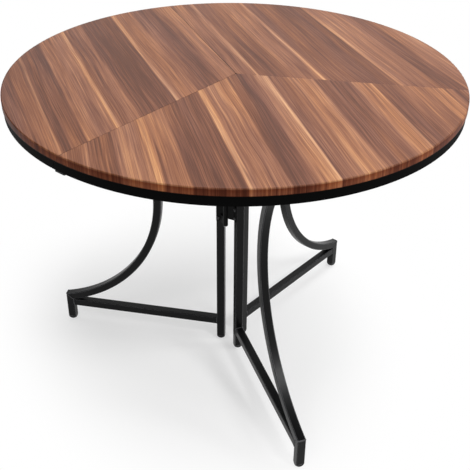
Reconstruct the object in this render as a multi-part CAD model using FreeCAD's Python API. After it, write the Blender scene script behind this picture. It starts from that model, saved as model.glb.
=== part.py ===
"""Round folding table: three identical leaves, each on its own leg frame.

Units are millimetres, +Z is up, the floor is z = 0 and the table axis is the Z axis.
A module is drawn with its frame along +X, then turned about Z to its place.
Each leaf tips about its frame's round top rail, and the frames close like a book.
"""
import FreeCAD
import Part
import math
import os

from FreeCAD import Vector

# Overall sizes
TABLE_RADIUS = 500.0
TABLE_HEIGHT = 755.0
BOARD_THICKNESS = 16.0
RIM_DEPTH = 20.0
RIM_WIDTH = 20.0
RIM_RADIUS = 498.0
BAND_THICKNESS = 2.0
BAND_ROUND = 1.8

# Module places: the azimuth of each frame, and how far its leaf is turned past it
FRAME_AZIMUTHS = {"a": 150.0, "b": 270.0, "c": 30.0}
LEAF_HALF_ANGLE = 60.0
LEAF_TURN = 1.7

# Seams: the board edges slope so that one leaf lies on the lip of the next
SEAM_GAP = 0.5
SEAM_SLOPE = math.radians(37.0)
RIM_JOINT_GAP = 1.2
RIM_LIP_REACH = 26.0
TIP_RADIUS = 2.0

# Leg frames, all of square tube except the round top rail
TUBE = 20.0
TUBE_WALL = 1.5
TUBE_CORNER = 2.5
POST_RADIUS = 33.5
FOOT_RADIUS = 448.0
BOTTOM_RAIL_Z = 59.5
LEG_CENTRE_R = 535.5
LEG_CENTRE_Z = 410.0
LEG_ARC_RADIUS = 344.0
LEG_HALF_SWEEP = 80.0
LEG_CHAMFER = 1.6
RAIL_DIAMETER = 20.0
RAIL_INNER_R = 24.0
RAIL_OUTER_R = 425.0
COPE_ABOVE_RAIL_BOTTOM = 3.0
GLIDE_HEIGHT = 10.0
GLIDE_DOME = 13.5
GLIDE_FLAT = 0.4
PLUG_HEAD = 2.5
PLUG_ROUND = 1.5
INSERT_LENGTH = 16.0
INSERT_PLAY = 0.1

# Saddles that carry the leaf on the top rail
SADDLE_RADII = (95.0, 285.0)
SADDLE_LENGTH = 40.0
SADDLE_WIDTH = 52.0
SADDLE_HEIGHT = 14.0
SADDLE_CAP_HEIGHT = 14.0
RUNNING_PLAY = 0.08
SADDLE_SCREW_PITCH = (26.0, 38.0)

# Fasteners: shank, head and play in the hole
SCREW_SHANK = 4.0
SCREW_HEAD = 8.0
SCREW_HEAD_HEIGHT = 2.5
SCREW_PLAY = 0.05
SCREW_BITE = 12.0
SCREW_TIP_ROOM = 1.0
RIM_SCREW_ANGLES = (-48.0, -24.0, 0.0, 24.0, 48.0)

# Pull tab under each seam, by which a leaf is tipped
TAB_WIDTH = 27.0
TAB_DROP = 5.0
TAB_SHIFT = -7.0
TAB_RADII = (472.0, 496.0)
TAB_SCREW_OFFSET = 7.0

# Hinges between the inner posts
HINGE_RADIUS = 33.0
HINGE_BOTTOMS = (375.0, 515.0)
HINGE_HEIGHT = 80.0
KNUCKLE_END = 20.0
KNUCKLE_DIAMETER = 12.0
KNUCKLE_GAP = 0.4
PIN_DIAMETER = 6.0
PIN_HEAD = 9.0
PIN_HEAD_HEIGHT = 2.0
FLANGE = 3.0
FLANGE_WIDTH = 19.0
WEB = 4.0
HINGE_SCREW_INSET = 8.0
HINGE_SCREW_SHIFT = 5.2

# Heights that follow from the sizes above
BOARD_BOTTOM = TABLE_HEIGHT - BOARD_THICKNESS
RIM_BOTTOM = BOARD_BOTTOM - RIM_DEPTH
RAIL_Z = BOARD_BOTTOM - SADDLE_HEIGHT
COPE_Z = RAIL_Z - RAIL_DIAMETER / 2 + COPE_ABOVE_RAIL_BOTTOM
LIP = BOARD_THICKNESS * math.tan(SEAM_SLOPE)
FAR = 2 * TABLE_RADIUS
CUT_MARGIN = 15.0
X_AXIS = Vector(1, 0, 0)
Y_AXIS = Vector(0, 1, 0)
Z_AXIS = Vector(0, 0, 1)


def box(x0, x1, y0, y1, z0, z1):
    return Part.makeBox(x1 - x0, y1 - y0, z1 - z0, Vector(x0, y0, z0))


def rod(x, y, z0, z1, diameter):
    return Part.makeCylinder(diameter / 2, z1 - z0, Vector(x, y, z0))


def prism(points, direction):
    outline = Part.makePolygon(points + points[:1])
    return Part.Face(outline).extrude(direction)


def upright_edges(shape):
    return [e for e in shape.Edges if abs(e.tangentAt(e.FirstParameter).z) > 0.5]


def rounded_bar(size, corner, length):
    """A bar of rounded square section, centred on Z, from z = 0 up."""
    bar = box(-size / 2, size / 2, -size / 2, size / 2, 0, length)
    return bar.makeFillet(corner, upright_edges(bar))


def square_tube(length):
    outer = rounded_bar(TUBE, TUBE_CORNER, length)
    inner = rounded_bar(TUBE - 2 * TUBE_WALL, TUBE_CORNER - TUBE_WALL, length)
    return outer.cut(inner)


def moved(shape, x=0.0, y=0.0, z=0.0):
    copy = shape.copy()
    copy.translate(Vector(x, y, z))
    return copy


def turned(shape, azimuth):
    copy = shape.copy()
    copy.rotate(Vector(0, 0, 0), Z_AXIS, azimuth)
    return copy


def group(solids):
    return Part.makeCompound(solids)


def annulus(inner, outer, z0, z1):
    ring = rod(0, 0, z0, z1, 2 * outer)
    if inner > 0:
        ring = ring.cut(rod(0, 0, z0, z1, 2 * inner))
    return ring


def seam_side(end, slope_run, offset):
    """The half space on the leaf's side of its seam.

    end is +1 for the anticlockwise seam and -1 for the clockwise one. At the table top
    the boundary lies offset past the seam line, and slope_run further at BOARD_BOTTOM.
    """
    low = RIM_BOTTOM - CUT_MARGIN
    high = TABLE_HEIGHT + CUT_MARGIN
    per_mm = slope_run / BOARD_THICKNESS
    at_low = offset + per_mm * (TABLE_HEIGHT - low)
    at_high = offset - per_mm * CUT_MARGIN
    section = [
        Vector(-FAR, -FAR, low),
        Vector(-FAR, at_low, low),
        Vector(-FAR, at_high, high),
        Vector(-FAR, -FAR, high),
    ]
    if end < 0:
        section = [Vector(p.x, -p.y, p.z) for p in section]
    half = prism(section, Vector(2 * FAR, 0, 0))
    return turned(half, LEAF_TURN + end * LEAF_HALF_ANGLE)


def between_seams(ring, gap):
    """A leaf's share of a ring: undercut at one seam, with a lip at the other."""
    ring = ring.common(seam_side(1, -LIP, -gap / 2))
    return ring.common(seam_side(-1, LIP, -gap / 2))


def rim_screw_places():
    middle = RIM_RADIUS - RIM_WIDTH / 2
    for angle in RIM_SCREW_ANGLES:
        turn = math.radians(angle + LEAF_TURN)
        yield middle * math.cos(turn), middle * math.sin(turn)


def saddle_screw_places():
    for centre in SADDLE_RADII:
        for along in (-SADDLE_SCREW_PITCH[0] / 2, SADDLE_SCREW_PITCH[0] / 2):
            for across in (-SADDLE_SCREW_PITCH[1] / 2, SADDLE_SCREW_PITCH[1] / 2):
                yield centre + along, across


def upright_screw(x, y, head_bottom, tip):
    """A screw driven upwards, with a slightly domed head below."""
    head = rod(x, y, head_bottom, head_bottom + SCREW_HEAD_HEIGHT, SCREW_HEAD)
    rim = [e for e in head.Edges if abs(e.BoundBox.ZMax - head_bottom) < 1e-6]
    head = head.makeFillet(SCREW_HEAD_HEIGHT / 3, rim)
    shank = rod(x, y, head_bottom + SCREW_HEAD_HEIGHT, tip, SCREW_SHANK)
    return head.fuse(shank).removeSplitter()


def screw_holes(places, z0, z1, diameter=SCREW_SHANK + 2 * SCREW_PLAY):
    return group([rod(x, y, z0, z1, diameter) for x, y in places])


def leaf_board():
    disc = annulus(0, TABLE_RADIUS - BAND_THICKNESS, BOARD_BOTTOM, TABLE_HEIGHT)
    board = between_seams(disc, SEAM_GAP)
    board = board.cut(rod(0, 0, RIM_BOTTOM, TABLE_HEIGHT + CUT_MARGIN, 2 * TIP_RADIUS))
    places = list(rim_screw_places()) + list(saddle_screw_places())
    return board.cut(screw_holes(places, BOARD_BOTTOM, BOARD_BOTTOM + SCREW_BITE + SCREW_PLAY))


def edge_band():
    """The band on the outer edge, with its upper arris rounded."""
    ring = annulus(TABLE_RADIUS - BAND_THICKNESS, TABLE_RADIUS, BOARD_BOTTOM, TABLE_HEIGHT)
    arris = [e for e in ring.Edges if e.BoundBox.ZMin > TABLE_HEIGHT - 1e-3 and e.BoundBox.XMax > TABLE_RADIUS - 1e-3]
    return between_seams(ring.makeFillet(BAND_ROUND, arris), SEAM_GAP)


def rim_bar():
    ring = annulus(RIM_RADIUS - RIM_WIDTH, RIM_RADIUS, RIM_BOTTOM, BOARD_BOTTOM)
    bar = between_seams(ring, RIM_JOINT_GAP).common(seam_side(-1, 0.0, RIM_LIP_REACH))
    places = list(rim_screw_places())
    bar = bar.cut(screw_holes(places, RIM_BOTTOM, BOARD_BOTTOM))
    recess = SCREW_HEAD + 4 * SCREW_PLAY
    bar = bar.cut(screw_holes(places, RIM_BOTTOM, RIM_BOTTOM + SCREW_HEAD_HEIGHT, recess))
    return bar.cut(screw_holes(tab_screw_places(), RIM_BOTTOM, RIM_BOTTOM + SCREW_BITE))


def rim_screws():
    return group([upright_screw(x, y, RIM_BOTTOM, BOARD_BOTTOM + SCREW_BITE) for x, y in rim_screw_places()])


def rail_bore():
    diameter = RAIL_DIAMETER + 2 * RUNNING_PLAY
    return Part.makeCylinder(diameter / 2, TABLE_RADIUS, Vector(0, 0, RAIL_Z), X_AXIS)


def saddle_blocks(z0, z1):
    half_width = SADDLE_WIDTH / 2
    blocks = []
    for centre in SADDLE_RADII:
        inner = centre - SADDLE_LENGTH / 2
        block = box(inner, inner + SADDLE_LENGTH, -half_width, half_width, z0, z1)
        block = block.makeFillet(TUBE_CORNER, upright_edges(block)).cut(rail_bore())
        blocks.append(block.cut(screw_holes(saddle_screw_places(), z0, z1)))
    return group(blocks)


def tilt_saddles():
    return saddle_blocks(RAIL_Z, BOARD_BOTTOM)


def saddle_caps():
    return saddle_blocks(RAIL_Z - SADDLE_CAP_HEIGHT, RAIL_Z)


def saddle_screws():
    head_bottom = RAIL_Z - SADDLE_CAP_HEIGHT - SCREW_HEAD_HEIGHT
    return group([upright_screw(x, y, head_bottom, BOARD_BOTTOM + SCREW_BITE) for x, y in saddle_screw_places()])


def tab_screw_places():
    seam = math.radians(LEAF_TURN - LEAF_HALF_ANGLE)
    radius = sum(TAB_RADII) / 2
    for across in (TAB_SHIFT - TAB_SCREW_OFFSET, TAB_SHIFT + TAB_SCREW_OFFSET):
        yield (radius * math.cos(seam) - across * math.sin(seam),
               radius * math.sin(seam) + across * math.cos(seam))


def pull_tab():
    inner, outer = TAB_RADII
    bottom = RIM_BOTTOM - TAB_DROP
    start = TAB_SHIFT - TAB_WIDTH / 2
    tab = box(inner, outer, start, start + TAB_WIDTH, bottom, RIM_BOTTOM)
    tab = turned(tab.makeFillet(TUBE_CORNER, upright_edges(tab)), LEAF_TURN - LEAF_HALF_ANGLE)
    tab = tab.cut(screw_holes(tab_screw_places(), bottom, RIM_BOTTOM))
    recess = SCREW_HEAD + 4 * SCREW_PLAY
    return tab.cut(screw_holes(tab_screw_places(), bottom, bottom + SCREW_HEAD_HEIGHT, recess))


def tab_screws():
    bottom = RIM_BOTTOM - TAB_DROP
    return group([upright_screw(x, y, bottom, RIM_BOTTOM + SCREW_BITE - SCREW_TIP_ROOM) for x, y in tab_screw_places()])


def rail_cylinder():
    return Part.makeCylinder(RAIL_DIAMETER / 2, TABLE_RADIUS, Vector(0, 0, RAIL_Z), X_AXIS)


def top_rail():
    length = RAIL_OUTER_R - RAIL_INNER_R
    start = Vector(RAIL_INNER_R, 0, RAIL_Z)
    tube = Part.makeCylinder(RAIL_DIAMETER / 2, length, start, X_AXIS)
    return tube.cut(Part.makeCylinder(RAIL_DIAMETER / 2 - TUBE_WALL, length, start, X_AXIS))


def rail_plugs():
    bore = RAIL_DIAMETER / 2 - TUBE_WALL - INSERT_PLAY
    plugs = []
    for end, outward in ((RAIL_INNER_R, -1), (RAIL_OUTER_R, 1)):
        face = Vector(end, 0, RAIL_Z)
        head = Part.makeCylinder(RAIL_DIAMETER / 2, PLUG_HEAD, face, X_AXIS * outward)
        tip = [e for e in head.Edges if abs(e.CenterOfMass.x - end - PLUG_HEAD * outward) < 1e-3]
        head = head.makeFillet(PLUG_ROUND, tip)
        stem = Part.makeCylinder(bore, INSERT_LENGTH, face, X_AXIS * -outward)
        plugs.append(head.fuse(stem).removeSplitter())
    return group(plugs)


def hinge_screw_places(side, bottoms, height):
    """Screws through a hinge flange into the post: (x, z) on the post's face."""
    for bottom in bottoms:
        for z in (bottom + HINGE_SCREW_INSET, bottom + height - HINGE_SCREW_INSET):
            yield POST_RADIUS + HINGE_SCREW_SHIFT, side, z


def side_rod(x, side, z, near, far, diameter):
    """A rod across the frame, from y = near to y = far on the given side."""
    return Part.makeCylinder(diameter / 2, far - near, Vector(x, side * near, z), Y_AXIS * side)


def inner_post(hinge_sides):
    post = moved(square_tube(COPE_Z - GLIDE_HEIGHT), x=POST_RADIUS, z=GLIDE_HEIGHT).cut(rail_cylinder())
    for side, bottoms, height in hinge_sides:
        for x, face, z in hinge_screw_places(side, bottoms, height):
            hole = side_rod(x, face, z, TUBE / 2 - 2 * TUBE_WALL, TUBE / 2, SCREW_SHANK + 2 * SCREW_PLAY)
            post = post.cut(hole)
    return post


def bottom_rail():
    start = POST_RADIUS + TUBE / 2
    length = FOOT_RADIUS - TUBE / 2 - start
    rail = square_tube(length)
    rail.rotate(Vector(0, 0, 0), Y_AXIS, 90)
    return moved(rail, x=start, z=BOTTOM_RAIL_Z)


def mitre():
    """The joint of the curved leg and the foot: a point and the normal of its plane."""
    run = LEG_CENTRE_R - FOOT_RADIUS
    drop = math.sqrt(LEG_ARC_RADIUS ** 2 - run ** 2)
    point = Vector(FOOT_RADIUS, 0, LEG_CENTRE_Z - drop)
    along_leg = Vector(drop, 0, -run).normalize()
    return point, (along_leg + Vector(0, 0, -1)).normalize()


def below_mitre():
    """The foot's side of the mitre plane."""
    point, normal = mitre()
    block = box(-TABLE_RADIUS, TABLE_RADIUS, -TUBE, TUBE, 0, TABLE_RADIUS)
    block.Placement = FreeCAD.Placement(point, FreeCAD.Rotation(Z_AXIS, normal))
    return block


def square_face(centre, size, chamfer):
    """A square in the XY plane round centre, with its corners eased."""
    half = size / 2
    flat = half - chamfer
    points = []
    for quarter in range(4):
        turn = FreeCAD.Rotation(Z_AXIS, 90 * quarter)
        points += [centre + turn.multVec(Vector(half, y, 0)) for y in (-flat, flat)]
    return Part.Face(Part.makePolygon(points + points[:1]))


def outer_leg():
    """A curved square tube: its section swung about the centre of the arc."""
    centre = Vector(LEG_CENTRE_R, 0, LEG_CENTRE_Z)
    nearest = Vector(LEG_CENTRE_R - LEG_ARC_RADIUS, 0, LEG_CENTRE_Z)
    swept = []
    for size, chamfer in ((TUBE, LEG_CHAMFER), (TUBE - 2 * TUBE_WALL, LEG_CHAMFER / 2)):
        section = square_face(nearest, size, chamfer)
        section.rotate(centre, Y_AXIS, -LEG_HALF_SWEEP)
        swept.append(section.revolve(centre, Y_AXIS, 2 * LEG_HALF_SWEEP))
    leg = swept[0].cut(swept[1])
    leg = leg.common(box(0, TABLE_RADIUS, -TUBE, TUBE, 0, COPE_Z))
    return leg.cut(rail_cylinder()).cut(below_mitre())


def foot_post():
    point = mitre()[0]
    height = point.z + TUBE - GLIDE_HEIGHT
    post = moved(square_tube(height), x=FOOT_RADIUS, z=GLIDE_HEIGHT)
    return post.common(below_mitre())


def glide(x):
    """A plastic foot: a shoe with a domed sole below the tube and a plug inside it."""
    dome = Part.makeSphere(GLIDE_DOME, Vector(0, 0, GLIDE_DOME - GLIDE_FLAT))
    shoe = rounded_bar(TUBE, TUBE_CORNER, GLIDE_HEIGHT).common(dome)
    bore = TUBE - 2 * TUBE_WALL - 2 * INSERT_PLAY
    plug = moved(rounded_bar(bore, TUBE_CORNER - TUBE_WALL, INSERT_LENGTH), z=GLIDE_HEIGHT)
    return moved(shoe.fuse(plug).removeSplitter(), x=x)


def foot_glides():
    return group([glide(POST_RADIUS), glide(FOOT_RADIUS)])


def hinge_pivot(side):
    turn = math.radians(LEAF_HALF_ANGLE)
    return HINGE_RADIUS * math.cos(turn), side * HINGE_RADIUS * math.sin(turn)


def hinge_arm(side, z0, z1, bore):
    """A knuckle and the web that carries it, up to the flange on the post."""
    px, py = hinge_pivot(side)
    flange_y = side * (TUBE / 2 + FLANGE)
    root_x = POST_RADIUS - TUBE / 2 + WEB / 2
    outline = [
        Vector(root_x, flange_y, z0),
        Vector(root_x + 2 * WEB, flange_y, z0),
        Vector(px + WEB / 2, py, z0),
        Vector(px - WEB / 2, py, z0),
    ]
    web = prism(outline, Vector(0, 0, z1 - z0))
    return web.fuse(rod(px, py, z0, z1, KNUCKLE_DIAMETER)).cut(rod(px, py, z0, z1, bore))


def hinge_flange(side, z0, z1):
    near = side * TUBE / 2
    far = side * (TUBE / 2 + FLANGE)
    x0 = POST_RADIUS - FLANGE_WIDTH / 2
    return box(x0, x0 + FLANGE_WIDTH, min(near, far), max(near, far), z0, z1)


def bored_flange(side, bottom, height):
    flange = hinge_flange(side, bottom, bottom + height)
    for x, face, z in hinge_screw_places(side, (bottom,), height):
        hole = side_rod(x, face, z, TUBE / 2, TUBE / 2 + FLANGE, SCREW_SHANK + 2 * SCREW_PLAY)
        flange = flange.cut(hole)
    return flange


def pin_side_plates(side):
    """The hinge halves that hold the pins: two knuckles each."""
    plates = []
    for bottom in HINGE_BOTTOMS:
        top = bottom + HINGE_HEIGHT
        plate = bored_flange(side, bottom, HINGE_HEIGHT)
        plate = plate.fuse(hinge_arm(side, bottom, bottom + KNUCKLE_END, PIN_DIAMETER))
        plate = plate.fuse(hinge_arm(side, top - KNUCKLE_END, top, PIN_DIAMETER))
        plates.append(plate.removeSplitter())
    return group(plates)


def swing_side_plates(side):
    """The hinge halves that turn on the pins: one knuckle each, between the other two."""
    plates = []
    inset = KNUCKLE_END + KNUCKLE_GAP
    for bottom in HINGE_BOTTOMS:
        z0 = bottom + inset
        height = HINGE_HEIGHT - 2 * inset
        arm = hinge_arm(side, z0, z0 + height, PIN_DIAMETER + 2 * RUNNING_PLAY)
        plates.append(bored_flange(side, z0, height).fuse(arm).removeSplitter())
    return group(plates)


def hinge_pins(side):
    px, py = hinge_pivot(side)
    pins = []
    for bottom in HINGE_BOTTOMS:
        top = bottom + HINGE_HEIGHT
        pin = rod(px, py, bottom, top, PIN_DIAMETER)
        for z in (bottom - PIN_HEAD_HEIGHT, top):
            pin = pin.fuse(rod(px, py, z, z + PIN_HEAD_HEIGHT, PIN_HEAD))
        pins.append(pin.removeSplitter())
    return group(pins)


def hinge_screws(hinge_sides):
    screws = []
    seat = TUBE / 2 + FLANGE
    for side, bottoms, height in hinge_sides:
        for x, face, z in hinge_screw_places(side, bottoms, height):
            head = side_rod(x, face, z, seat, seat + SCREW_HEAD_HEIGHT, SCREW_HEAD)
            shank = side_rod(x, face, z, TUBE / 2 - TUBE_WALL, seat, SCREW_SHANK)
            screws.append(head.fuse(shank).removeSplitter())
    return group(screws)


def hinge_sides(module):
    """Which faces of a module's post carry hinges: (side, flange bottoms, flange height)."""
    inset = KNUCKLE_END + KNUCKLE_GAP
    swing_bottoms = tuple(bottom + inset for bottom in HINGE_BOTTOMS)
    swing_height = HINGE_HEIGHT - 2 * inset
    return {
        "a": [(1, HINGE_BOTTOMS, HINGE_HEIGHT), (-1, HINGE_BOTTOMS, HINGE_HEIGHT)],
        "b": [(-1, swing_bottoms, swing_height)],
        "c": [(1, swing_bottoms, swing_height)],
    }[module]


def module_nodes(module):
    sides = hinge_sides(module)
    return {
        "leaf_board": leaf_board(),
        "edge_band": edge_band(),
        "rim_bar": rim_bar(),
        "rim_screws": rim_screws(),
        "tilt_saddles": tilt_saddles(),
        "saddle_caps": saddle_caps(),
        "saddle_screws": saddle_screws(),
        "pull_tab": pull_tab(),
        "tab_screws": tab_screws(),
        "inner_post": inner_post(sides),
        "top_rail": top_rail(),
        "rail_plugs": rail_plugs(),
        "bottom_rail": bottom_rail(),
        "outer_leg": outer_leg(),
        "foot_post": foot_post(),
        "foot_glides": foot_glides(),
        "hinge_screws": hinge_screws(sides),
    }


def hinge_nodes():
    """Hinge halves and pins, by node name, with the module whose frame they are drawn in."""
    return {
        "hinge_plates_ab_a": ("a", pin_side_plates(1)),
        "hinge_plates_ab_b": ("b", swing_side_plates(-1)),
        "hinge_pins_ab": ("a", hinge_pins(1)),
        "hinge_plates_ca_a": ("a", pin_side_plates(-1)),
        "hinge_plates_ca_c": ("c", swing_side_plates(1)),
        "hinge_pins_ca": ("a", hinge_pins(-1)),
    }


def table_nodes():
    nodes = {}
    for module, azimuth in FRAME_AZIMUTHS.items():
        for name, shape in module_nodes(module).items():
            nodes[f"{name}_{module}"] = turned(shape, azimuth)
    for name, (module, shape) in hinge_nodes().items():
        nodes[name] = turned(shape, FRAME_AZIMUTHS[module])
    return nodes


os.makedirs("parts", exist_ok=True)
for node, shape in table_nodes().items():
    print(f"{node}: {len(shape.Solids)} solids, {shape.Volume / 1000:.1f} cm3, valid {shape.isValid()}")
    shape.exportStep(os.path.join("parts", f"{node}.step"))
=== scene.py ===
# %% [markdown]
# # A round folding table with a striped walnut top
# The table is three equal leaves on three black tube frames. The solids are already right in
# shape and size, so this lesson loads them, leaves them where they are, and gives each one the
# finish it has in a workshop: printed walnut laminate, lacquer, powder coat, steel and plastic.
# Small things that repeat, such as screw heads and weld beads, are grown with Geometry Nodes.

# %% Load the table as a fixed frame
import math

import bpy
import bmesh
from mathutils import Matrix, Vector


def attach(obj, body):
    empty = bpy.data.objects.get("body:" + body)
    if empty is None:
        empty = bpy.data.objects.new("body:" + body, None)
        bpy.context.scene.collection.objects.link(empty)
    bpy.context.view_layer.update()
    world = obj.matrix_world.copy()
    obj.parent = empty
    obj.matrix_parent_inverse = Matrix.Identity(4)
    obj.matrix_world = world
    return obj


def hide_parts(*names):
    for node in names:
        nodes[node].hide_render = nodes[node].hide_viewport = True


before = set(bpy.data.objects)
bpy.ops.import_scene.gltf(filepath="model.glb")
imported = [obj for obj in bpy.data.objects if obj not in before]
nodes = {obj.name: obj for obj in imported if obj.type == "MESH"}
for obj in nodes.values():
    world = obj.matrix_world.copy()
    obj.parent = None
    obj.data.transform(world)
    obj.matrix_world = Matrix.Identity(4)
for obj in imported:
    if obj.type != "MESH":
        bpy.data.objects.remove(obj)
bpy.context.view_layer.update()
scene = bpy.context.scene
# The three modules, with the direction of each frame in degrees round the table.
MODULES = {"a": 150.0, "b": 270.0, "c": 30.0}

# %% [markdown]
# ## The camera
# The viewpoint was solved from the oval of the top, the six feet and the upright posts: the lens
# stands above the table and looks down at it by 31 degrees. A camera could be placed by eye, but
# a solved one lets every edge be compared with the picture. Shift moves the picture in its frame
# without tilting the posts.

# %% Place the camera
PICTURE_SIDE = 470.0
PICTURE_CENTRE = (242.07, 196.58)
FOCAL_PIXELS = 814.71
SENSOR_WIDTH = 36.0
CAMERA_PLACE = Vector((-0.54864, -1.57852, 1.44273))
CAMERA_TURN = math.radians(-19.765)
CAMERA_DIP = math.radians(30.955)
CAMERA_ROLL = math.radians(0.793)

ahead = Vector((
    -math.sin(CAMERA_TURN) * math.cos(CAMERA_DIP),
    math.cos(CAMERA_TURN) * math.cos(CAMERA_DIP),
    -math.sin(CAMERA_DIP),
))
level = Vector((math.cos(CAMERA_TURN), math.sin(CAMERA_TURN), 0.0))
upward = level.cross(ahead)
across = level * math.cos(CAMERA_ROLL) + upward * math.sin(CAMERA_ROLL)
rise = upward * math.cos(CAMERA_ROLL) - level * math.sin(CAMERA_ROLL)
pointing = Matrix((across, rise, -ahead)).transposed()

lens = bpy.data.cameras.new("portrait_lens")
lens.sensor_width = SENSOR_WIDTH
lens.lens = FOCAL_PIXELS * SENSOR_WIDTH / PICTURE_SIDE
lens.shift_x = (PICTURE_SIDE / 2 - PICTURE_CENTRE[0]) / PICTURE_SIDE
lens.shift_y = (PICTURE_CENTRE[1] - PICTURE_SIDE / 2) / PICTURE_SIDE
camera = bpy.data.objects.new("portrait_camera", lens)
scene.collection.objects.link(camera)
camera.matrix_world = Matrix.Translation(CAMERA_PLACE) @ pointing.to_4x4()
scene.camera = camera
scene.view_settings.view_transform = "Standard"
print("lens", round(lens.lens, 2), "shift", round(lens.shift_x, 4), round(lens.shift_y, 4))

# %% [markdown]
# ## Small helpers for node trees
# Materials and Geometry Nodes are both graphs. `put` adds one node, sets its options, and feeds
# its sockets either with a number or with another node's output. The other helpers are the few
# nodes that come back again and again: sums, noise, ramps and mixed colours.

# %% Helpers that add nodes
def put(tree, kind, feeds=None, **options):
    made = tree.nodes.new(kind)
    for name, value in options.items():
        setattr(made, name, value)
    for key, value in (feeds or {}).items():
        if isinstance(value, bpy.types.NodeSocket):
            tree.links.new(value, made.inputs[key])
        else:
            made.inputs[key].default_value = value
    return made


def calc(tree, operation, first, second=0.0, clamp=False):
    feeds = {0: first, 1: second}
    return put(tree, "ShaderNodeMath", feeds, operation=operation, use_clamp=clamp).outputs[0]


def above(tree, value, edge):
    return calc(tree, "GREATER_THAN", value, edge)


def swung(tree, value, share):
    """Noise swings round a half; this makes it swing round zero, times a share."""
    return calc(tree, "MULTIPLY", calc(tree, "SUBTRACT", value, 0.5), share)


def vector_calc(tree, operation, first, second=None):
    feeds = {0: first} if second is None else {0: first, 1: second}
    made = put(tree, "ShaderNodeVectorMath", feeds, operation=operation)
    return made.outputs["Value" if operation in ("LENGTH", "DOT_PRODUCT") else "Vector"]


def noise(tree, vector, scale, detail, bend=0.0):
    feeds = {"Vector": vector, "Scale": scale, "Detail": detail, "Distortion": bend}
    return put(tree, "ShaderNodeTexNoise", feeds).outputs[0]


def ramped(tree, value, low, high, smooth=False):
    """0 where the value is at low and 1 where it is at high."""
    feeds = {"Value": value, "From Min": low, "From Max": high}
    run = "SMOOTHSTEP" if smooth else "LINEAR"
    return put(tree, "ShaderNodeMapRange", feeds, interpolation_type=run).outputs[0]


print("node helpers ready")

# %% Helpers for colours, groups and materials
WHITE = (1.0, 1.0, 1.0, 1.0)


def paint(red, green, blue):
    """A colour as a paint chart gives it, 0 to 255, as Blender's linear colour."""
    def linear(part):
        part = part / 255
        return part / 12.92 if part <= 0.04045 else ((part + 0.055) / 1.055) ** 2.4
    return (linear(red), linear(green), linear(blue), 1.0)


def blend(tree, mask, first, second, how="MIX"):
    feeds = {0: mask, 6: first, 7: second}
    return put(tree, "ShaderNodeMix", feeds, data_type="RGBA", blend_type=how).outputs[2]


def colour_ramp(tree, value, stops):
    """A colour ramp from a list of (place from 0 to 1, colour)."""
    shade = put(tree, "ShaderNodeValToRGB", {"Fac": value})
    ramp = shade.color_ramp
    while len(ramp.elements) < len(stops):
        ramp.elements.new(1.0)
    for stop, (place, colour) in zip(ramp.elements, stops):
        stop.position = place
        stop.color = colour
    return shade.outputs[0]


def new_group(name, kind, takes, gives):
    """An empty node group with named sockets; returns the tree, its start and its end."""
    tree = bpy.data.node_groups.new(name, kind)
    for label, socket, value in takes:
        made = tree.interface.new_socket(label, in_out="INPUT", socket_type=socket)
        if value is not None:
            made.default_value = value
    for label, socket in gives:
        tree.interface.new_socket(label, in_out="OUTPUT", socket_type=socket)
    return tree, tree.nodes.new("NodeGroupInput"), tree.nodes.new("NodeGroupOutput")


def use_group(tree, group, feeds):
    """Places a shader group in a material and returns its outputs."""
    return put(tree, "ShaderNodeGroup", feeds, node_tree=group).outputs


def give(tree, end, values):
    for label, socket in values.items():
        tree.links.new(socket, end.inputs[label])


def new_material(name):
    made = bpy.data.materials.new(name)
    made.use_nodes = True
    tree = made.node_tree
    tree.nodes.clear()
    return made, tree


print("colour and group helpers ready")

# %% [markdown]
# ## Floor and light
# A studio sweep is a pale floor that melts into a white wall. A curved backdrop would do it too,
# but then every other view would meet its edge. Here one flat sheet keeps the soft shadow near the
# table, with a little light of its own for the lens, and fades to plain white further out.

# %% Lay the floor
FLOOR_HALF = 8.0
FLOOR_DROP = 0.0004
FLOOR_GLOW = 0.515
FLOOR_TINT = (0.50, 0.50, 0.50, 1.0)
BOUNCE_TINT = (0.8, 0.8, 0.8, 1.0)
FADE_CENTRE = (0.0, 0.24, 0.0)
FADE_REACH = (0.62, 0.84, 1.0)
FADE_START = 0.5


def seen_directly(tree):
    """1 where the lens, a mirror or a pane looks straight at a surface, else 0."""
    path = put(tree, "ShaderNodeLightPath").outputs
    either = calc(tree, "MAXIMUM", path["Is Camera Ray"], path["Is Glossy Ray"])
    return calc(tree, "MAXIMUM", either, path["Is Transmission Ray"])


floor_paint, tree = new_material("studio_floor")
spot = put(tree, "ShaderNodeTexCoord").outputs["Object"]
share = vector_calc(tree, "DIVIDE", vector_calc(tree, "SUBTRACT", spot, FADE_CENTRE), FADE_REACH)
fade = ramped(tree, vector_calc(tree, "LENGTH", share), FADE_START, 1.0, smooth=True)
shade = put(tree, "ShaderNodeBsdfDiffuse", {"Color": FLOOR_TINT}).outputs[0]
glow = put(tree, "ShaderNodeEmission", {"Color": WHITE, "Strength": FLOOR_GLOW}).outputs[0]
near = put(tree, "ShaderNodeAddShader", {0: shade, 1: glow}).outputs[0]
far = put(tree, "ShaderNodeEmission", {"Color": WHITE, "Strength": 1.0}).outputs[0]
sweep = put(tree, "ShaderNodeMixShader", {0: fade, 1: near, 2: far}).outputs[0]
bounce = put(tree, "ShaderNodeBsdfDiffuse", {"Color": BOUNCE_TINT}).outputs[0]
mixed = put(tree, "ShaderNodeMixShader", {0: seen_directly(tree), 1: bounce, 2: sweep})
put(tree, "ShaderNodeOutputMaterial", {"Surface": mixed.outputs[0]})

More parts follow.
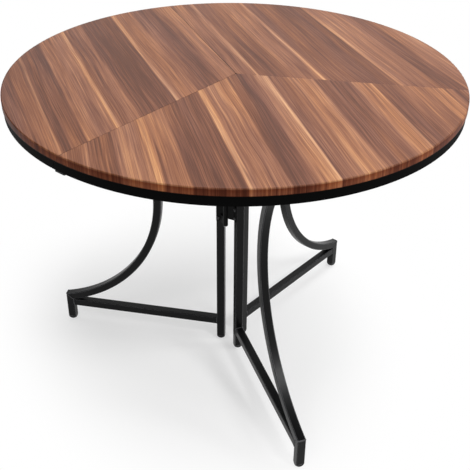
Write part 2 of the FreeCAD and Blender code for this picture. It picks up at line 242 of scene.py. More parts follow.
corners = [(x * FLOOR_HALF, y * FLOOR_HALF) for x, y in ((-1, -1), (1, -1), (1, 1), (-1, 1))]
floor_mesh = bpy.data.meshes.new("studio_floor")
floor_mesh.from_pydata([(x, y, -FLOOR_DROP) for x, y in corners], [], [(0, 1, 2, 3)])
floor_mesh.materials.append(floor_paint)
floor = bpy.data.objects.new("studio_floor", floor_mesh)
scene.collection.objects.link(floor)
print("floor laid, white beyond", FADE_REACH[:2], "m")

# %% [markdown]
# ## Lamps
# Large softboxes give soft shadows. Most of the light falls from high up, so the top shows its
# colour. A smaller lamp in front draws the highlight on the front leg. A low one at the side sends
# light in under the top, which throws the shadows of the legs across the floor.

# %% Hang the lamps
AMBIENT = 0.34
AIM = Vector((0.0, 0.0, 0.45))
# Each lamp: its place, the side of its square and its power.
LAMPS = {
    "key_softbox": ((1.7, 0.6, 4.2), 1.8, 72.0),
    "fill_softbox": ((-1.5, -1.1, 2.6), 0.9, 10.0),
    "side_softbox": ((2.2, -0.9, 1.9), 0.6, 16.0),
    "overhead_softbox": ((0.0, 0.3, 3.0), 1.3, 26.0),
    "front_softbox": ((0.9, -2.0, 2.6), 0.5, 29.0),
}

world = bpy.data.worlds.new("studio_air")
world.use_nodes = True
tree = world.node_tree
tree.nodes.clear()
soft = put(tree, "ShaderNodeBackground", {"Color": WHITE, "Strength": AMBIENT}).outputs[0]
white = put(tree, "ShaderNodeBackground", {"Color": WHITE, "Strength": 1.0}).outputs[0]
mixed = put(tree, "ShaderNodeMixShader", {0: seen_directly(tree), 1: soft, 2: white})
put(tree, "ShaderNodeOutputWorld", {"Surface": mixed.outputs[0]})
scene.world = world

for name, (place, side, power) in LAMPS.items():
    light = bpy.data.lights.new(name, "AREA")
    light.size = side
    light.energy = power
    lamp = bpy.data.objects.new(name, light)
    scene.collection.objects.link(lamp)
    lamp.location = place
    lamp.rotation_mode = "QUATERNION"
    lamp.rotation_quaternion = (AIM - Vector(place)).to_track_quat("-Z", "Y")
print("lamps:", sorted(LAMPS))

# %% [markdown]
# ## Shared effects
# Three effects return in many finishes, so each is a node group. `fine_grain` is the orange-peel or
# moulded texture that every coat and casting has at close range. `soft_edge` rounds the shading
# at sharp corners, as real arrises are eased, and gives a mask of these places. On a corner that
# is round already that mask is empty, so `arris_wear_and_highlight` looks inward with short rays
# instead: they meet another face only near an outer corner. There the colour is made lighter,
# partly as wear and partly as a painted highlight along the arris.

# %% Group: fine grain
CLOUD_SIZE = 7.0
CLOUD_GAIN = 2.0

tree, start, end = new_group(
    "fine_grain", "ShaderNodeTree",
    [("Size", "NodeSocketFloat", 900.0), ("Spread", "NodeSocketFloat", 0.08),
     ("Middle", "NodeSocketFloat", 0.5)],
    [("Height", "NodeSocketFloat"), ("Roughness", "NodeSocketFloat"), ("Tone", "NodeSocketFloat")],
)
where = put(tree, "ShaderNodeTexCoord").outputs["Object"]
peel = noise(tree, where, start.outputs["Size"], 2.0)
cloud = noise(tree, where, CLOUD_SIZE, 3.0)
drifting = calc(tree, "MULTIPLY", swung(tree, cloud, start.outputs["Spread"]), CLOUD_GAIN)
uneven = calc(tree, "ADD", drifting, swung(tree, peel, start.outputs["Spread"]))
rough = calc(tree, "ADD", start.outputs["Middle"], uneven)
give(tree, end, {"Height": peel, "Roughness": rough, "Tone": cloud})
fine_grain = tree
print("group:", fine_grain.name)

# %% Group: soft edge
BEVEL_SAMPLES = 4

tree, start, end = new_group(
    "soft_edge", "ShaderNodeTree",
    [("Radius", "NodeSocketFloat", 0.001), ("Gain", "NodeSocketFloat", 2.0)],
    [("Normal", "NodeSocketVector"), ("Mask", "NodeSocketFloat")],
)
radius = {"Radius": start.outputs["Radius"]}
eased = put(tree, "ShaderNodeBevel", radius, samples=BEVEL_SAMPLES).outputs[0]
plain = put(tree, "ShaderNodeNewGeometry").outputs["Normal"]
turn = calc(tree, "SUBTRACT", 1.0, vector_calc(tree, "DOT_PRODUCT", eased, plain))
mask = calc(tree, "MULTIPLY", turn, start.outputs["Gain"], clamp=True)
give(tree, end, {"Normal": eased, "Mask": mask})
soft_edge = tree
print("group:", soft_edge.name)

# %% Group: worn arris
INWARD_RAYS = 8

tree, start, end = new_group(
    "arris_wear_and_highlight", "ShaderNodeTree",
    [("Reach", "NodeSocketFloat", 0.001), ("Gain", "NodeSocketFloat", 6.0)],
    [("Mask", "NodeSocketFloat")],
)
# Short inward rays meet another face only near an outer corner; the mask lightens the colour there,
# partly as wear and partly as painted highlight.
inward = put(tree, "ShaderNodeAmbientOcclusion", {"Distance": start.outputs["Reach"]},
             inside=True, only_local=True, samples=INWARD_RAYS)
closed = calc(tree, "SUBTRACT", 1.0, inward.outputs["AO"])
give(tree, end, {"Mask": calc(tree, "MULTIPLY", closed, start.outputs["Gain"], clamp=True)})
arris_wear_and_highlight = tree
print("group:", arris_wear_and_highlight.name)

# %% [markdown]
# ## Printed walnut laminate
# The top is fibreboard under a printed sheet: narrow staves side by side, each shaded from one
# edge to the other between pale sapwood and smoky heartwood. A picture of wood could be pasted on,
# but it blurs at close range and repeats. Here a colour ramp across the grain lays out the staves
# of one leaf, and noise that is stretched along the grain draws the streaks, growth lines and
# pores. The glued edges of the staves are straight, while the grain between them sways a little.

# %% Group: grain line
SWAY_SIZE = (6.0, 4.0, 1.0)
SWAY = 0.012

tree, start, end = new_group(
    "grain_line", "ShaderNodeTree",
    [("Vector", "NodeSocketVector", None), ("Sheet", "NodeSocketFloat", 0.0)],
    [("Vector", "NodeSocketVector"), ("Across", "NodeSocketFloat"), ("Height", "NodeSocketFloat")],
)
sheet = put(tree, "ShaderNodeCombineXYZ", {"Z": start.outputs["Sheet"]}).outputs[0]
cut = vector_calc(tree, "ADD", start.outputs["Vector"], sheet)
bend = noise(tree, vector_calc(tree, "MULTIPLY", cut, SWAY_SIZE), 1.0, 1.0)
axes = put(tree, "ShaderNodeSeparateXYZ", {0: start.outputs["Vector"]}).outputs
swayed = calc(tree, "ADD", axes["X"], swung(tree, bend, SWAY))
joined = put(tree, "ShaderNodeCombineXYZ",
             {"X": swayed, "Y": axes["Y"], "Z": start.outputs["Sheet"]}).outputs[0]
give(tree, end, {"Vector": joined, "Across": axes["X"], "Height": axes["Z"]})
grain_line = tree
print("group:", grain_line.name)

# %% Values of the walnut print
# Each layer of noise: its waves per metre across and along the grain, its detail and its bend.
GRAIN_LAYERS = {
    "broad": ((48.0, 1.8, 1.0), 2.0, 0.2),
    "streak": ((190.0, 2.4, 1.0), 3.0, 0.25),
    "hair": ((620.0, 7.0, 1.0), 2.0, 0.0),
    "pore": ((1300.0, 30.0, 1.0), 1.0, 0.0),
    "figure": ((30.0, 0.9, 1.0), 1.0, 0.0),
    "drift": ((7.0, 2.2, 1.0), 1.0, 0.0),
    "warmth": ((28.0, 1.6, 1.0), 2.0, 0.3),
}
TONE_SHARES = {"broad": 0.46, "streak": 0.60, "hair": 0.95, "drift": 0.30}
WALNUT_TONES = {
    0.0: (80, 46, 33), 0.25: (108, 67, 50), 0.5: (138, 92, 69),
    0.75: (172, 123, 89), 1.0: (206, 157, 113),
}
WARMTH_RANGE = (0.3, 0.7)
COOL_STAIN = (0.92, 0.96, 1.04, 1.0)
WARM_STAIN = (1.06, 1.02, 0.84, 1.0)
FIGURE_LINES = 8.0
FIGURE_FINE = 0.24
FIGURE_SHARE = 0.09
PORE_RANGE = (0.60, 0.72)
PORE_SHARE = 0.30
PORE_STAIN = (0.40, 0.32, 0.28, 1.0)
PRINT_ROUGH = 0.38
STREAK_ROUGH = 0.12
STREAK_HEIGHT = 0.4
print("grain layers:", sorted(GRAIN_LAYERS))

# %% Group: walnut print
tree, start, end = new_group(
    "walnut_print", "ShaderNodeTree",
    [("Vector", "NodeSocketVector", None), ("Tone", "NodeSocketFloat", 0.4)],
    [("Color", "NodeSocketColor"), ("Roughness", "NodeSocketFloat"), ("Height", "NodeSocketFloat")],
)
layers = {}
for name, (size, detail, bend) in GRAIN_LAYERS.items():
    stretched = vector_calc(tree, "MULTIPLY", start.outputs["Vector"], size)
    layers[name] = noise(tree, stretched, 1.0, detail, bend)

ring = calc(tree, "PINGPONG", calc(tree, "MULTIPLY", layers["figure"], FIGURE_LINES), 1.0)
line = ramped(tree, ring, FIGURE_FINE, 0.0, smooth=True)
tone = calc(tree, "SUBTRACT", start.outputs["Tone"], calc(tree, "MULTIPLY", line, FIGURE_SHARE))
for name, share in TONE_SHARES.items():
    tone = calc(tree, "ADD", tone, swung(tree, layers[name], share))
shade = colour_ramp(tree, tone, [(at, paint(*colour)) for at, colour in WALNUT_TONES.items()])
stain = blend(tree, ramped(tree, layers["warmth"], *WARMTH_RANGE), COOL_STAIN, WARM_STAIN)
tinted = blend(tree, 1.0, shade, stain, "MULTIPLY")
dot = ramped(tree, layers["pore"], *PORE_RANGE)
pored = blend(tree, calc(tree, "MULTIPLY", dot, PORE_SHARE), tinted, PORE_STAIN, "MULTIPLY")
rough = calc(tree, "ADD", PRINT_ROUGH, calc(tree, "MULTIPLY", layers["streak"], STREAK_ROUGH))
height = calc(tree, "SUBTRACT", calc(tree, "MULTIPLY", layers["streak"], STREAK_HEIGHT), dot)
give(tree, end, {"Color": pored, "Roughness": rough, "Height": height})
walnut_print = tree
print("group:", walnut_print.name)

# %% [markdown]
# ### The staves of each leaf
# Each leaf was cut from the sheet at its own place and a few degrees off square, so the staves do
# not run through at the seams. A stave starts at a sharp edge and shades across its width. The
# lists give where each edge lies across the grain, in millimetres from the middle of the table,
# with the tone before and after it. One tone alone marks a soft turn inside a stave. At some edges
# a narrow line of sapwood is paler still, and it comes and goes along the grain.

# %% Staves of the three leaves
DARK, SMOKY, MID, WARM, TAN, PALE = 0.17, 0.26, 0.38, 0.48, 0.59, 0.78
STAVES = {
    "a": [(-500, SMOKY), (-434, MID), (-428, TAN, SMOKY), (-408, DARK, MID), (-372, SMOKY, WARM),
          (-309, TAN, PALE), (-301, TAN, MID), (-255, WARM, SMOKY), (-205, DARK),
          (-166, SMOKY, PALE), (-154, TAN, WARM), (-112, WARM, MID), (-86, MID, DARK),
          (-50, SMOKY, MID), (-12, TAN), (20, TAN)],
    "b": [(-350, MID), (-299, SMOKY, MID), (-270, TAN), (-244, WARM, PALE), (-234, TAN, MID),
          (-190, WARM, DARK), (-101, DARK, PALE), (-89, TAN, WARM), (-24, WARM, DARK),
          (22, SMOKY, WARM), (64, PALE, SMOKY), (118, TAN), (156, WARM, SMOKY),
          (228, SMOKY, WARM), (262, TAN), (273, PALE, SMOKY), (338, MID, MID),
          (409, WARM, SMOKY)],
    "c": [(-20, MID), (8, WARM), (16, WARM, MID), (39, MID, PALE), (47, WARM, SMOKY),
          (108, MID, WARM), (168, WARM, PALE), (177, TAN, MID), (270, SMOKY), (315, SMOKY, PALE),
          (328, TAN, WARM), (396, WARM, SMOKY), (440, SMOKY, WARM), (500, TAN)],
}
LEAF_TONE = {"a": -0.095, "b": -0.02, "c": -0.075}
GRAIN_AZIMUTH = {"a": 92.2, "b": 85.0, "c": 90.0}
SHEET_CUT = {"a": 3.1, "b": 7.4, "c": 11.8}
for leaf in STAVES:
    print("leaf", leaf, "has", sum(len(row) > 2 for row in STAVES[leaf]), "sharp stave edges")

# %% Ramps across the sheet
MILLIMETRE = 0.001
SHEET_HALF = 0.5
EDGE_HALF = 0.5
SAP_LINES = {"a": (-431, -305, -160), "b": (-237, -94, 62, 270), "c": (43, 172, 321)}
SAP_HALF = 2.8
SAP_PATCH = 5.0
SAP_RANGE = (0.35, 0.65)
SAP_SHARE = 0.36
SAP_COLOUR = paint(212, 165, 124)


def across_ramp(tree, across, values):
    """A grey ramp across the sheet, from a list of (millimetres from the middle, value)."""
    stops = []
    for place, value in values:
        at = place * MILLIMETRE / (2 * SHEET_HALF) + 0.5
        stops.append((min(max(at, 0.0), 1.0), (value, value, value, 1.0)))
    return colour_ramp(tree, ramped(tree, across, -SHEET_HALF, SHEET_HALF), stops)


def stave_tone(tree, across, leaf):
    """The tone across one leaf, with a double stop at every sharp edge."""
    staves = []
    for edge, *tones in STAVES[leaf]:
        gap = EDGE_HALF if len(tones) == 2 else 0.0
        for side, tone in zip((-1, 1), tones):
            staves.append((edge + side * gap, tone + LEAF_TONE[leaf]))
    return across_ramp(tree, across, staves)


def sap_mask(tree, grain, leaf):
    """How much of the pale sapwood shows: a narrow peak on every line, which comes and goes."""
    lines = []
    for middle in SAP_LINES[leaf]:
        lines += [(middle - SAP_HALF, 0.0), (middle, SAP_SHARE), (middle + SAP_HALF, 0.0)]
    shown = ramped(tree, noise(tree, grain["Vector"], SAP_PATCH, 1.0), *SAP_RANGE)
    return calc(tree, "MULTIPLY", across_ramp(tree, grain["Across"], lines), shown)


print("sapwood lines:", sum(len(lines) for lines in SAP_LINES.values()))

# %% [markdown]
# ### Board and edge band
# The board carries the print on its top. Its underside has a plain dark backing sheet, and the
# sloped seam edges are sealed with dark stain, so that a closed seam reads as one fine line. All
# three show on one solid, so the material picks by height. At the back seam the arris is painted
# dark towards the middle: painted shade, as of the seam gap. The band is cut from the same sheet
# and is darker, most of all just below its rounded arris; the arris itself keeps the colour of the
# print. A near-black strip runs along its lower edge.

# %% Colour of the board and of the band
TOP_SHEET_Z = 0.7546
BACKING_Z = 0.7393
BACKING_COLOUR = paint(52, 44, 40)
SEAM_COLOUR = paint(46, 31, 25)
BACK_SEAM = (0.42, 0.05)
BAND_Z = (0.742, 0.752)
BAND_LOW = (0.82, 0.60, 0.53, 1.0)
BAND_HIGH = (0.69, 0.43, 0.33, 1.0)
ARRIS_Z = 0.7527
BAND_FOOT_Z = 0.7402
BAND_FOOT_DARK = (0.10, 0.09, 0.09, 1.0)


def seal_and_shade_board(tree, colour, height, spot, arris):
    """Paints shade on the back seam's arris, and colours the seam edges and the underside."""
    y = put(tree, "ShaderNodeSeparateXYZ", {0: spot}).outputs["Y"]
    at_back = calc(tree, "MULTIPLY", ramped(tree, y, *BACK_SEAM), above(tree, y, 0.0))
    # Painted shade: the arris of the back seam is darkened towards the middle.
    colour = blend(tree, calc(tree, "MULTIPLY", arris, at_back), colour, SEAM_COLOUR)
    colour = blend(tree, above(tree, height, TOP_SHEET_Z), SEAM_COLOUR, colour)
    return blend(tree, above(tree, height, BACKING_Z), BACKING_COLOUR, colour)


def darken_band(tree, colour, height):
    """Darkens the band below its arris, most of all just under it, and draws a near-black strip along
    its lower edge.
    """
    stain = blend(tree, ramped(tree, height, *BAND_Z, smooth=True), BAND_LOW, BAND_HIGH)
    stain = blend(tree, above(tree, height, ARRIS_Z), stain, WHITE)
    stain = blend(tree, above(tree, height, BAND_FOOT_Z), BAND_FOOT_DARK, stain)
    return blend(tree, 1.0, colour, stain, "MULTIPLY")


print("band stained from", BAND_Z[0], "to", ARRIS_Z, "m")

# %% Materials of the top
TOP_EASE = 0.0012
BACK_SEAM_SHADE_GAIN = 7.0
TOP_SHEEN = 0.16
BAND_SHEEN = 0.04
PRINT_BUMP = 0.12
PRINT_DEPTH = 0.0002


def walnut(leaf, band):
    made, tree = new_material(("edge_band_" if band else "walnut_leaf_") + leaf)
    spot = put(tree, "ShaderNodeTexCoord").outputs["Object"]
    turn = (0.0, 0.0, math.radians(90.0 - GRAIN_AZIMUTH[leaf]))
    along = put(tree, "ShaderNodeMapping", {"Vector": spot, "Rotation": turn}).outputs[0]
    grain = use_group(tree, grain_line, {"Vector": along, "Sheet": SHEET_CUT[leaf]})
    tone = stave_tone(tree, grain["Across"], leaf)
    wood = use_group(tree, walnut_print, {"Vector": grain["Vector"], "Tone": tone})
    edge = use_group(tree, soft_edge, {"Radius": TOP_EASE, "Gain": BACK_SEAM_SHADE_GAIN})
    colour = blend(tree, sap_mask(tree, grain, leaf), wood["Color"], SAP_COLOUR)
    if band:
        colour = darken_band(tree, colour, grain["Height"])
    else:
        colour = seal_and_shade_board(tree, colour, grain["Height"], spot, edge["Mask"])
    bump = put(tree, "ShaderNodeBump", {
        "Strength": PRINT_BUMP, "Distance": PRINT_DEPTH,
        "Height": wood["Height"], "Normal": edge["Normal"],
    }).outputs[0]
    skin = put(tree, "ShaderNodeBsdfPrincipled", {
        "Base Color": colour, "Roughness": wood["Roughness"], "Normal": bump,
        "Specular IOR Level": BAND_SHEEN if band else TOP_SHEEN,
    })
    put(tree, "ShaderNodeOutputMaterial", {"Surface": skin.outputs[0]})
    return made


def dress(node, material):
    """Gives a CAD node one material."""
    mesh = nodes[node].data
    mesh.materials.clear()
    mesh.materials.append(material)


for leaf in MODULES:
    dress(f"leaf_board_{leaf}", walnut(leaf, band=False))
    dress(f"edge_band_{leaf}", walnut(leaf, band=True))
print("walnut on", 2 * len(MODULES), "pieces")

# %% [markdown]
# ## Coats, metals and plastics
# The rim is fibreboard in flat black lacquer. The tubes are powder coated: a baked coat with an
# orange-peel skin and a low sheen. Hinges are blackened steel, pins and screws are plated, the
# saddles are nylon and the feet are moulded plastic. They differ in a few numbers, so one function
# makes them all from the shared effects.

# %% Values of the finishes
FINISHES = {
    "rim_black": dict(
        base=(4, 4, 4), wear_and_highlight=(14, 13, 12), grain=700.0, bump=0.10, rough=0.66,
        spread=0.10, metal=0.0, specular=0.03, ease=0.0010, wear_and_highlight_gain=3.0),
    # On the powder coat the light arris colour and the high gain are a painted highlight: lines of
    # light along the rounded corners of the tubes.
    "powder_coat": dict(
        base=(7, 7, 8), wear_and_highlight=(130, 130, 133), grain=1500.0, bump=0.16, rough=0.30,
        spread=0.10, metal=0.0, specular=0.14, ease=0.0012, wear_and_highlight_gain=18.0),
    "hinge_black": dict(
        base=(7, 7, 7), wear_and_highlight=(30, 30, 31), grain=1100.0, bump=0.10, rough=0.46,
        spread=0.12, metal=0.0, specular=0.08, ease=0.0006, wear_and_highlight_gain=3.0),
    "pin_steel": dict(
        base=(150, 150, 152), wear_and_highlight=(190, 190, 192), grain=2200.0, bump=0.05, rough=0.32,
        spread=0.12, metal=1.0, specular=0.5, ease=0.0004, wear_and_highlight_gain=3.0),
    "screw_steel": dict(
        base=(46, 46, 48), wear_and_highlight=(96, 95, 93), grain=2600.0, bump=0.06, rough=0.36,
        spread=0.14, metal=1.0, specular=0.5, ease=0.0003, wear_and_highlight_gain=3.0),
    "saddle_nylon": dict(
        base=(38, 38, 40), wear_and_highlight=(58, 58, 60), grain=1800.0, bump=0.14, rough=0.52,
        spread=0.08, metal=0.0, specular=0.4, ease=0.0008, wear_and_highlight_gain=3.0),
    "black_plastic": dict(
        base=(16, 16, 17), wear_and_highlight=(36, 36, 37), grain=1300.0, bump=0.12, rough=0.50,
        spread=0.10, metal=0.0, specular=0.25, ease=0.0008, wear_and_highlight_gain=3.0),
}
WEARS = {
    "rim_black": ("rim_bar",),
    "powder_coat": ("inner_post", "top_rail", "bottom_rail", "outer_leg", "foot_post"),
    "saddle_nylon": ("tilt_saddles", "saddle_caps"),
    "black_plastic": ("foot_glides", "rail_plugs", "pull_tab"),
}
print("finishes:", sorted(FINISHES))

# %% Finishes in black and steel
GRAIN_DEPTH = 0.0002
CLOUD_LIFT = 1.35


def finish_material(name, base, wear_and_highlight, grain, bump, rough, spread, metal, specular, ease, wear_and_highlight_gain):
    made, tree = new_material(name)
    texture = use_group(tree, fine_grain, {"Size": grain, "Spread": spread, "Middle": rough})
    edge = use_group(tree, soft_edge, {"Radius": ease})
    arris = use_group(tree, arris_wear_and_highlight, {"Reach": ease, "Gain": wear_and_highlight_gain})
    dark = paint(*base)
    light = tuple(min(1.0, CLOUD_LIFT * part) for part in dark[:3]) + (1.0,)
    coat = blend(tree, texture["Tone"], dark, light)
    # Lighter colour at outer corners: partly wear, and on the powder coat mostly a painted highlight.
    wear_and_highlight_mask = calc(tree, "MULTIPLY", arris["Mask"], texture["Tone"])
    ripple = put(tree, "ShaderNodeBump", {
        "Strength": bump, "Distance": GRAIN_DEPTH,
        "Height": texture["Height"], "Normal": edge["Normal"],
    }).outputs[0]
    skin = put(tree, "ShaderNodeBsdfPrincipled", {
        "Base Color": blend(tree, wear_and_highlight_mask, coat, paint(*wear_and_highlight)), "Roughness": texture["Roughness"],
        "Metallic": metal, "Specular IOR Level": specular, "Normal": ripple,
    })
    put(tree, "ShaderNodeOutputMaterial", {"Surface": skin.outputs[0]})
    return made


finishes = {name: finish_material(name, **values) for name, values in FINISHES.items()}
for finish, kinds in WEARS.items():
    for kind in kinds:
        for module in MODULES:
            dress(f"{kind}_{module}", finishes[finish])
for node in nodes:
    if node.startswith("hinge_plates"):
        dress(node, finishes["hinge_black"])
    if node.startswith("hinge_pins"):
        dress(node, finishes["pin_steel"])
print("finishes made:", len(finishes))

# %% [markdown]
# ## Screws
# The solids have plain screws: a disc on a rod. The real ones have a domed pan head with a cross
# recess. They could be modelled one by one, but there are dozens, so one Geometry Nodes tree makes
# a screw from its sizes and sets it on points, each turned to its own drive direction.

# %% Geometry Nodes: the screw's sizes and its domed head
HEAD_HEIGHT = 0.0025
HEAD_SIDES = 24
HEAD_RINGS = 4
SHANK_SIDES = 12
FACE_SHARE = 0.9

tree, start, end = new_group(
    "pan_head_screw", "GeometryNodeTree",
    [("Geometry", "NodeSocketGeometry", None), ("Head Diameter", "NodeSocketFloat", 0.008),
     ("Head Height", "NodeSocketFloat", HEAD_HEIGHT), ("Dome", "NodeSocketFloat", 0.0009),
     ("Shank Diameter", "NodeSocketFloat", 0.004), ("Length", "NodeSocketFloat", 0.03),
     ("Recess Length", "NodeSocketFloat", 0.0044), ("Recess Width", "NodeSocketFloat", 0.0009),
     ("Recess Depth", "NodeSocketFloat", 0.0012), ("Material", "NodeSocketMaterial", None)],
    [("Geometry", "NodeSocketGeometry")],
)
size = start.outputs
half_head = calc(tree, "MULTIPLY", size["Head Height"], 0.5)
radius = calc(tree, "MULTIPLY", size["Head Diameter"], 0.5)


def squared(tree, value):
    return calc(tree, "MULTIPLY", value, value)


def rise_by(tree, piece, height):
    lift = put(tree, "ShaderNodeCombineXYZ", {"Z": height}).outputs[0]
    moved = put(tree, "GeometryNodeTransform", {"Geometry": piece, "Translation": lift})
    return moved.outputs[0]


disc = put(tree, "GeometryNodeMeshCylinder", {
    "Vertices": HEAD_SIDES, "Side Segments": 2, "Fill Segments": HEAD_RINGS,
    "Radius": radius, "Depth": size["Head Height"],
}, fill_type="TRIANGLE_FAN").outputs["Mesh"]
position = put(tree, "GeometryNodeInputPosition").outputs[0]
place = put(tree, "ShaderNodeSeparateXYZ", {0: position}).outputs
reach = calc(tree, "ADD", squared(tree, place["X"]), squared(tree, place["Y"]))
share = calc(tree, "DIVIDE", reach, squared(tree, radius))
fall = calc(tree, "MULTIPLY", calc(tree, "MULTIPLY", share, size["Dome"]), -1.0)
droop = put(tree, "ShaderNodeCombineXYZ", {"Z": fall}).outputs[0]
is_face = above(tree, place["Z"], calc(tree, "MULTIPLY", half_head, FACE_SHARE))
dome = put(tree, "GeometryNodeSetPosition",
           {"Geometry": disc, "Selection": is_face, "Offset": droop}).outputs[0]
head = rise_by(tree, dome, half_head)
print("head with", HEAD_SIDES, "sides")

# %% Geometry Nodes: the cross recess
deep = calc(tree, "MULTIPLY", size["Recess Depth"], 2.0)
cross = put(tree, "GeometryNodeMeshBoolean", None, operation="UNION", solver="EXACT")
for first, second in (("Recess Length", "Recess Width"), ("Recess Width", "Recess Length")):
    sides = {"X": size[first], "Y": size[second], "Z": deep}
    block = put(tree, "ShaderNodeCombineXYZ", sides).outputs[0]
    blade = put(tree, "GeometryNodeMeshCube", {"Size": block}).outputs["Mesh"]
    tree.links.new(rise_by(tree, blade, size["Head Height"]), cross.inputs["Mesh 2"])
sunk = put(tree, "GeometryNodeMeshBoolean", {"Mesh 1": head, "Mesh 2": cross.outputs["Mesh"]},
           operation="DIFFERENCE", solver="EXACT").outputs["Mesh"]
print("recess cut from the head")

# %% Geometry Nodes: the shank, and a screw on every point
buried = calc(tree, "SUBTRACT", size["Length"], size["Head Height"])
rod = put(tree, "GeometryNodeMeshCylinder", {
    "Vertices": SHANK_SIDES, "Depth": buried,
    "Radius": calc(tree, "MULTIPLY", size["Shank Diameter"], 0.5),
}).outputs["Mesh"]
screw = put(tree, "GeometryNodeJoinGeometry")
for part in (sunk, rise_by(tree, rod, calc(tree, "MULTIPLY", buried, -0.5))):
    tree.links.new(part, screw.inputs[0])
drive = put(tree, "GeometryNodeInputNamedAttribute", {"Name": "drive"}, data_type="FLOAT_VECTOR")
aim = put(tree, "FunctionNodeAlignRotationToVector",
          {"Vector": drive.outputs["Attribute"]}, axis="Z").outputs[0]
placed = put(tree, "GeometryNodeInstanceOnPoints", {
    "Points": size["Geometry"], "Instance": screw.outputs[0], "Rotation": aim,
}).outputs[0]


def end_tree(tree, end, geometry, material):
    """Makes instances real and gives them their material, which every tree ends with."""
    real = put(tree, "GeometryNodeRealizeInstances", {"Geometry": geometry}).outputs[0]
    done = put(tree, "GeometryNodeSetMaterial", {"Geometry": real, "Material": material})
    tree.links.new(done.outputs[0], end.inputs[0])


end_tree(tree, end, placed, size["Material"])
pan_head_screw = tree
print("tree:", pan_head_screw.name)

# %% Read the screws from the solids
MERGE_REACH = 1e-6
LEVEL_REACH = 1e-5


def separate_lumps(node):
    """The corner points of each loose lump in a CAD node, read from a merged copy."""
    copy = bmesh.new()
    copy.from_mesh(nodes[node].data)
    bmesh.ops.remove_doubles(copy, verts=copy.verts, dist=MERGE_REACH)
    left = set(copy.verts)
    lumps = []
    while left:
        queue = [left.pop()]
        lump = []
        while queue:
            corner = queue.pop()
            lump.append(corner.co.copy())
            for edge in corner.link_edges:
                other = edge.other_vert(corner)
                if other in left:
                    left.remove(other)
                    queue.append(other)
        lumps.append(lump)
    copy.free()
    return lumps


def screw_seat(lump, axis):
    """Where the head of one screw sits, which way it faces, and how long the screw is."""
    middle = sum(lump, Vector()) / len(lump)
    heights = [(corner - middle).dot(axis) for corner in lump]
    low, high = min(heights), max(heights)
    widths = {}
    for level in (low, high):
        arms = [c - middle for c, h in zip(lump, heights) if abs(h - level) < LEVEL_REACH]
        widths[level] = max((arm - axis * arm.dot(axis)).length for arm in arms)
    face = high if widths[high] > widths[low] else low
    drive = axis if face == high else -axis
    return middle + axis * face - drive * HEAD_HEIGHT, drive, high - low


print("screws in one rim:", len(separate_lumps("rim_screws_a")))

# %% Grow the screws where the solids have them
# Each set: its node, the way its screws point, the body it rides on and its finish.
SCREW_SETS = (
    ("rim_screws", "up", "leaf", "screw_steel"),
    ("saddle_screws", "up", "leaf", "screw_steel"),
    ("tab_screws", "up", "leaf", "screw_steel"),
    ("hinge_screws", "sideways", "frame", "powder_coat"),
)


def grow(name, tree, seeds, values):
    """Runs a Geometry Nodes tree on a seed mesh and keeps the result as a plain mesh."""
    piece = bpy.data.objects.new(name, seeds)
    scene.collection.objects.link(piece)
    growth = piece.modifiers.new(name, "NODES")
    growth.node_group = tree
    for item in tree.interface.items_tree:
        if item.in_out == "INPUT" and item.name in values:
            growth[item.identifier] = values[item.name]
    evaluated = piece.evaluated_get(bpy.context.evaluated_depsgraph_get())
    grown = bpy.data.meshes.new_from_object(evaluated)
    piece.modifiers.clear()
    piece.data = grown
    return piece


def seed_points(name, seats):
    seeds = bpy.data.meshes.new(name)
    seeds.from_pydata([seat for seat, drive, length in seats], [], [])
    directions = seeds.attributes.new("drive", "FLOAT_VECTOR", "POINT")
    for item, (seat, drive, length) in zip(directions.data, seats):
        item.vector = drive
    return seeds


screw_count = 0
for module, azimuth in MODULES.items():
    turn = math.radians(azimuth)
    ways = {"up": Vector((0.0, 0.0, 1.0)), "sideways": Vector((-math.sin(turn), math.cos(turn), 0.0))}
    for kind, way, body, finish in SCREW_SETS:
        node = f"{kind}_{module}"
        seats = [screw_seat(lump, ways[way]) for lump in separate_lumps(node)]
        values = {"Head Height": HEAD_HEIGHT, "Length": seats[0][2], "Material": finishes[finish]}
        piece = grow(f"cross_{node}", pan_head_screw, seed_points(node, seats), values)
        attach(piece, f"{body}_{module}")
        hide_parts(node)
        screw_count += len(seats)
print("screws:", screw_count, "faces in the last set:", len(piece.data.polygons))

# %% [markdown]
# ## Weld beads
# Where one tube butts on another the maker runs a bead of weld round the joint and coats it with
# the frame. It is a thin tube that follows the joint, with ripples where the pool froze. A bead
# could be drawn in a bump map, but it stands proud. Here the joint lines are plain loops of edges,
# and a tree turns each into a rippled tube.

# %% Geometry Nodes: rippled bead
BEAD_SIDES = 8
STEP_SHARE = 0.25

tree, start, end = new_group(
    "weld_bead", "GeometryNodeTree",
    [("Geometry", "NodeSocketGeometry", None), ("Radius", "NodeSocketFloat", 0.0011),
     ("Ripple Pitch", "NodeSocketFloat", 0.0022), ("Ripple Depth", "NodeSocketFloat", 0.14),
     ("Material", "NodeSocketMaterial", None)],
    [("Geometry", "NodeSocketGeometry")],
)
size = start.outputs
path = put(tree, "GeometryNodeMeshToCurve", {"Mesh": size["Geometry"]}).outputs[0]
step = calc(tree, "MULTIPLY", size["Ripple Pitch"], STEP_SHARE)
steps = put(tree, "GeometryNodeResampleCurve", {"Curve": path, "Length": step}, mode="LENGTH")
travel = put(tree, "GeometryNodeSplineParameter").outputs["Length"]
phase = calc(tree, "DIVIDE", calc(tree, "MULTIPLY", travel, math.tau), size["Ripple Pitch"])
ripple = calc(tree, "MULTIPLY", calc(tree, "SINE", phase), size["Ripple Depth"])
section = put(tree, "GeometryNodeCurvePrimitiveCircle",
              {"Resolution": BEAD_SIDES, "Radius": size["Radius"]}).outputs["Curve"]
tube = put(tree, "GeometryNodeCurveToMesh", {
    "Curve": steps.outputs[0], "Profile Curve": section, "Scale": calc(tree, "ADD", 1.0, ripple),
}).outputs[0]
end_tree(tree, end, tube, size["Material"])
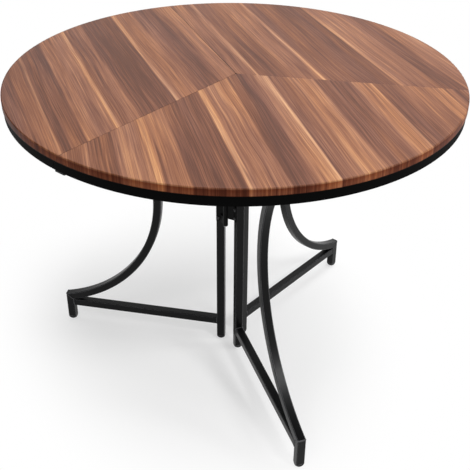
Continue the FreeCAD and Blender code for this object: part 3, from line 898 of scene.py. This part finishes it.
weld_bead = tree
print("tree:", weld_bead.name)

# %% Lines of the joints of one frame
TUBE_HALF = 0.010
CORNER = 0.0025
POST_R, FOOT_R = 0.0335, 0.448
BOTTOM_RAIL_Z, RAIL_Z, COPE_Z = 0.0595, 0.725, 0.718
LEG_CENTRE, LEG_ARC = (0.5355, 0.410), 0.344
COPE_STEPS = 6


def tube_section():
    """Points round a square tube with cut corners, in its own plane."""
    a, b = TUBE_HALF, TUBE_HALF - CORNER
    return [(a, -b), (a, b), (b, a), (-b, a), (-a, b), (-a, -b), (-b, -a), (b, -a)]


def butt_loop(r):
    """Round the square bottom rail where it meets an upright tube at radius r."""
    return [(r, s, BOTTOM_RAIL_Z + t) for s, t in tube_section()]


def mitre_loop():
    """Round the slanted joint between the leg's outer end and the foot."""
    run = LEG_CENTRE[0] - FOOT_R
    drop = math.sqrt(LEG_ARC ** 2 - run ** 2)
    slant = math.tan((math.pi / 2 - math.atan2(run, drop)) / 2)
    return [(FOOT_R + s, t, LEG_CENTRE[1] - drop + s * slant) for s, t in tube_section()]


def cope_loop(r_low, r_high):
    """Round a tube that is coped under the round top rail, between two radii."""
    half = math.sqrt(TUBE_HALF ** 2 - (RAIL_Z - COPE_Z) ** 2)
    arc = [half * math.cos(math.pi * k / COPE_STEPS) for k in range(COPE_STEPS + 1)]
    under = [(y, RAIL_Z - math.sqrt(TUBE_HALF ** 2 - y ** 2)) for y in arc]
    return [(r_high, y, z) for y, z in under] + [(r_low, -y, z) for y, z in under]


def leg_cuts(z):
    """The radii where the leg's two faces cross a level."""
    rise = z - LEG_CENTRE[1]
    reaches = (LEG_ARC + TUBE_HALF, LEG_ARC - TUBE_HALF)
    return [LEG_CENTRE[0] - math.sqrt(reach ** 2 - rise ** 2) for reach in reaches]


print("leg meets the rail between", [round(r, 4) for r in leg_cuts(COPE_Z)])

# %% Grow the beads of the three frames
loops = [
    butt_loop(POST_R + TUBE_HALF),
    butt_loop(FOOT_R - TUBE_HALF),
    mitre_loop(),
    cope_loop(POST_R - TUBE_HALF, POST_R + TUBE_HALF),
    cope_loop(*leg_cuts(COPE_Z)),
]
for module, azimuth in MODULES.items():
    outward = Matrix.Rotation(math.radians(azimuth), 3, "Z")
    corners, edges = [], []
    for loop in loops:
        first = len(corners)
        corners += [outward @ Vector(corner) for corner in loop]
        edges += [(first + k, first + (k + 1) % len(loop)) for k in range(len(loop))]
    seeds = bpy.data.meshes.new(f"weld_lines_{module}")
    seeds.from_pydata(corners, edges, [])
    piece = grow(f"weld_beads_{module}", weld_bead, seeds, {"Material": finishes["powder_coat"]})
    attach(piece, f"frame_{module}")
print("beads per frame:", len(loops), "faces:", len(piece.data.polygons))
